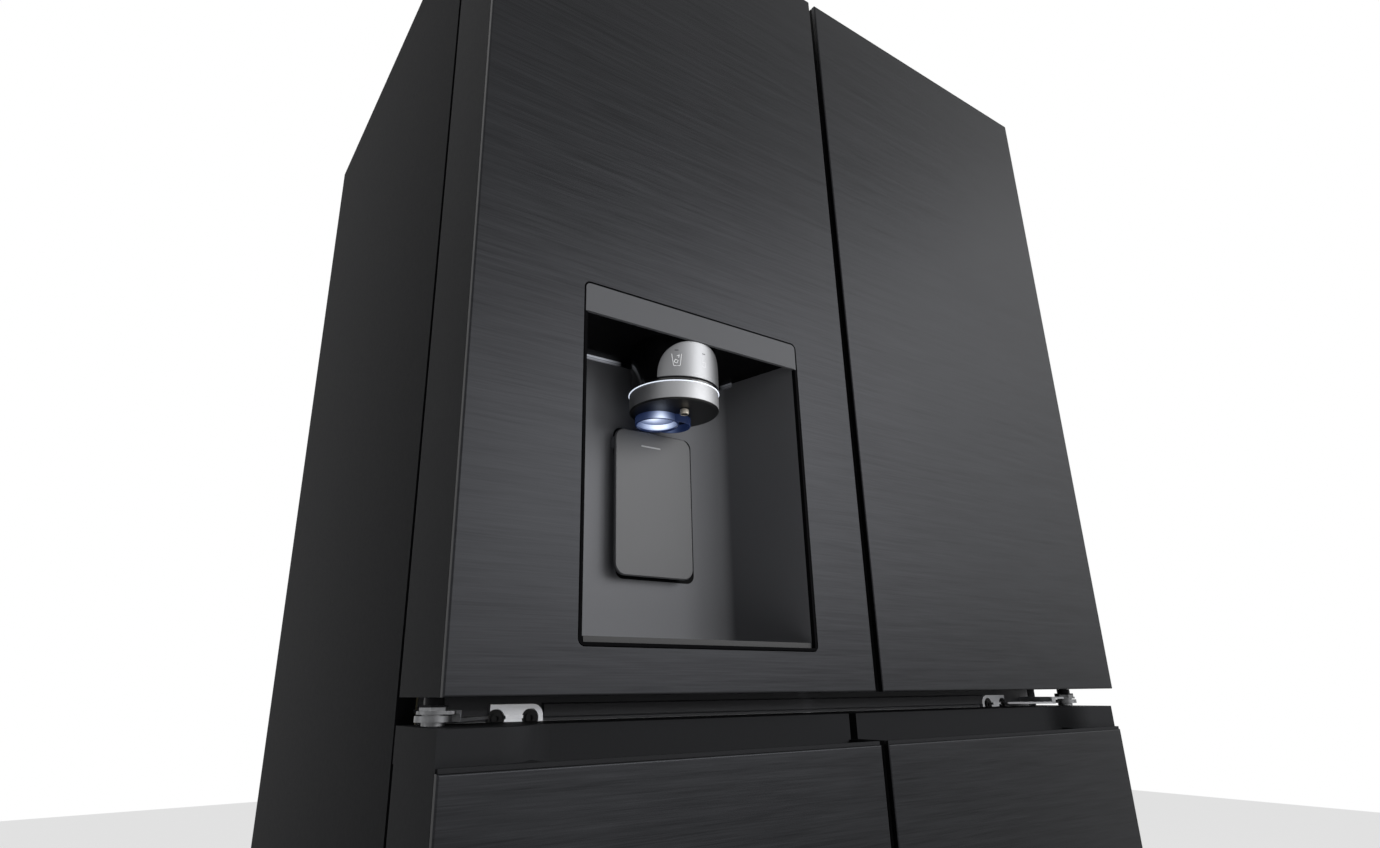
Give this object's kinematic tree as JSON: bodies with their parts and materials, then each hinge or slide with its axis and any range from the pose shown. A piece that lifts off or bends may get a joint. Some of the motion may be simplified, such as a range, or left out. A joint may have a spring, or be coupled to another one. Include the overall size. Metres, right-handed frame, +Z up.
{
  "type": "french door refrigerator",
  "caption": "Free-standing refrigerator with paired upper doors, an ice and water dispenser recess, paired lower freezer doors, inner shelves, drawers and ice store.",
  "frame": {"origin": "on the floor, under the middle of the overall box", "axes": "+X to the right seen from the front, +Y to the back, +Z up"},
  "size_m": [0.912, 0.742, 1.79],
  "materials": {
    "black_steel": "fine horizontal brushed grain under a dark matt coat",
    "case_paint": "matt dark paint",
    "door_edge": "matt black",
    "black_plastic": "matt black",
    "dark_beam": "dark satin",
    "galvanised": "galvanised sheet",
    "foam": "closed-cell foam",
    "white_liner": "vacuum-formed, soft gloss",
    "white_plastic": "moulded, satin",
    "clear_plastic": "clear moulded",
    "clear_glass": "toughened sheet",
    "compressor_paint": "black enamel",
    "coil_metal": "finned",
    "hinge_steel": "zinc plated",
    "screw_black": "black oxide",
    "gasket_rubber": "soft grey-black",
    "recess_grey": "fine matt grain",
    "gloss_black": "piano black",
    "satin_silver": "satin",
    "chute_plastic": "translucent, lit from inside",
    "nozzle_brass": "satin",
    "paddle_black": "soft matt",
    "auger_steel": "polished"
  },
  "bodies": {
    "cabinet": {"outer_case": "case_paint", "rear_panel": "galvanised", "insulation": "foam", "fridge_liner": "white_liner", "freezer_liners": "white_liner", "centre_beam": "dark_beam", "base_frame": "galvanised", "kick_plate": "black_plastic", "machine_cover": "galvanised", "compressor": "compressor_paint", "condenser": "coil_metal", "evaporator": "coil_metal", "air_ducts": "white_plastic", "shelf_glass": "clear_glass", "shelf_trims": "white_plastic", "crisper_cover": "white_plastic", "drawer_rails": "white_plastic", "hinge_brackets": "hinge_steel", "hinge_covers": "black_plastic", "hinge_screws": "screw_black"},
    "upper_left_door": {"upper_left_skin": "black_steel", "upper_left_core": "door_edge", "upper_left_liner": "white_liner", "upper_left_gasket": "gasket_rubber", "dispenser_housing": "recess_grey", "dispenser_head": "gloss_black", "dispenser_ring": "satin_silver", "ice_chute": "chute_plastic", "water_nozzle": "nozzle_brass", "drip_tray": "black_plastic", "ice_room": "white_plastic", "ice_bin": "clear_plastic"},
    "upper_right_door": {"upper_right_skin": "black_steel", "upper_right_core": "door_edge", "upper_right_liner": "white_liner", "upper_right_gasket": "gasket_rubber", "upper_right_bins": "clear_plastic"},
    "lower_left_door": {"lower_left_skin": "black_steel", "lower_left_core": "door_edge", "lower_left_liner": "white_liner", "lower_left_gasket": "gasket_rubber"},
    "lower_right_door": {"lower_right_skin": "black_steel", "lower_right_core": "door_edge", "lower_right_liner": "white_liner", "lower_right_gasket": "gasket_rubber"},
    "mullion": {"flip_mullion": "dark_beam"},
    "paddle": {"dispenser_paddle": "paddle_black"},
    "auger": {"ice_auger": "auger_steel"},
    "crisper_left": {"crisper_left": "clear_plastic"},
    "crisper_right": {"crisper_right": "clear_plastic"},
    "drawer_left_bottom": {"freezer_drawer_left_bottom": "clear_plastic"},
    "drawer_left_top": {"freezer_drawer_left_top": "clear_plastic"},
    "drawer_right_bottom": {"freezer_drawer_right_bottom": "clear_plastic"},
    "drawer_right_top": {"freezer_drawer_right_top": "clear_plastic"},
    "condenser_fan": {"condenser_fan": "black_plastic"},
    "evaporator_fan": {"evaporator_fan": "white_plastic"},
    "foot_left": {"levelling_foot_left": "black_plastic"},
    "foot_right": {"levelling_foot_right": "black_plastic"},
    "roller_left": {"rear_roller_left": "black_plastic"},
    "roller_right": {"rear_roller_right": "black_plastic"}
  },
  "joints": [
    {"name": "upper_left_door_hinge", "type": "hinge", "parent": "cabinet", "child": "upper_left_door", "pos_m": [-0.4415, -0.311, 0.866], "axis": [0, 0, -1], "range_deg": [0, 120]},
    {"name": "upper_right_door_hinge", "type": "hinge", "parent": "cabinet", "child": "upper_right_door", "pos_m": [0.4415, -0.311, 0.866], "axis": [0, 0, 1], "range_deg": [0, 120]},
    {"name": "lower_left_door_hinge", "type": "hinge", "parent": "cabinet", "child": "lower_left_door", "pos_m": [-0.4415, -0.311, 0.055], "axis": [0, 0, -1], "range_deg": [0, 120]},
    {"name": "lower_right_door_hinge", "type": "hinge", "parent": "cabinet", "child": "lower_right_door", "pos_m": [0.4415, -0.311, 0.055], "axis": [0, 0, 1], "range_deg": [0, 120]},
    {"name": "mullion_flip", "type": "hinge", "parent": "upper_left_door", "child": "mullion", "pos_m": [-0.02, -0.252, 0.89], "axis": [0, 0, 1], "range_deg": [0, 90]},
    {"name": "paddle_press", "type": "hinge", "parent": "upper_left_door", "child": "paddle", "pos_m": [-0.21585, -0.276, 1.1147], "axis": [1, 0, 0], "range_deg": [0, 3], "stiffness_Nm_per_rad": 1},
    {"name": "auger_turn", "type": "hinge", "parent": "upper_left_door", "child": "auger", "pos_m": [-0.21585, -0.21325, 1.3333], "axis": [1, 0, 0], "continuous": true},
    {"name": "crisper_left_slide", "type": "slide", "parent": "cabinet", "child": "crisper_left", "axis": [0, -1, 0], "range_m": [0, 0.265]},
    {"name": "crisper_right_slide", "type": "slide", "parent": "cabinet", "child": "crisper_right", "axis": [0, -1, 0], "range_m": [0, 0.265]},
    {"name": "drawer_left_bottom_slide", "type": "slide", "parent": "cabinet", "child": "drawer_left_bottom", "axis": [0, -1, 0], "range_m": [0, 0.195]},
    {"name": "drawer_left_top_slide", "type": "slide", "parent": "cabinet", "child": "drawer_left_top", "axis": [0, -1, 0], "range_m": [0, 0.195]},
    {"name": "drawer_right_bottom_slide", "type": "slide", "parent": "cabinet", "child": "drawer_right_bottom", "axis": [0, -1, 0], "range_m": [0, 0.195]},
    {"name": "drawer_right_top_slide", "type": "slide", "parent": "cabinet", "child": "drawer_right_top", "axis": [0, -1, 0], "range_m": [0, 0.195]},
    {"name": "condenser_fan_turn", "type": "hinge", "parent": "cabinet", "child": "condenser_fan", "pos_m": [0.06, 0.2498, 0.113], "axis": [1, 0, 0], "continuous": true},
    {"name": "evaporator_fan_turn", "type": "hinge", "parent": "cabinet", "child": "evaporator_fan", "pos_m": [-0.217, 0.2248, 0.72], "axis": [0, 1, 0], "continuous": true},
    {"name": "foot_left_turn", "type": "hinge", "parent": "cabinet", "child": "foot_left", "pos_m": [-0.4, -0.226, 0], "axis": [0, 0, 1], "continuous": true},
    {"name": "roller_left_turn", "type": "hinge", "parent": "cabinet", "child": "roller_left", "pos_m": [-0.426, 0.3138, 0.016], "axis": [1, 0, 0], "continuous": true},
    {"name": "foot_right_turn", "type": "hinge", "parent": "cabinet", "child": "foot_right", "pos_m": [0.4, -0.226, 0], "axis": [0, 0, 1], "continuous": true},
    {"name": "roller_right_turn", "type": "hinge", "parent": "cabinet", "child": "roller_right", "pos_m": [0.426, 0.3138, 0.016], "axis": [1, 0, 0], "continuous": true}
  ],
  "couplings": [
    {"joint": "mullion_flip", "follows": "upper_left_door_hinge", "ratio": 0.75},
    {"joint": "crisper_left_slide", "follows": "upper_left_door_hinge", "m_per_rad": 0.126},
    {"joint": "drawer_left_bottom_slide", "follows": "lower_left_door_hinge", "m_per_rad": 0.0917},
    {"joint": "drawer_left_top_slide", "follows": "lower_left_door_hinge", "m_per_rad": 0.0917},
    {"joint": "crisper_right_slide", "follows": "upper_right_door_hinge", "m_per_rad": 0.126},
    {"joint": "drawer_right_bottom_slide", "follows": "lower_right_door_hinge", "m_per_rad": 0.0917},
    {"joint": "drawer_right_top_slide", "follows": "lower_right_door_hinge", "m_per_rad": 0.0917}
  ]
}
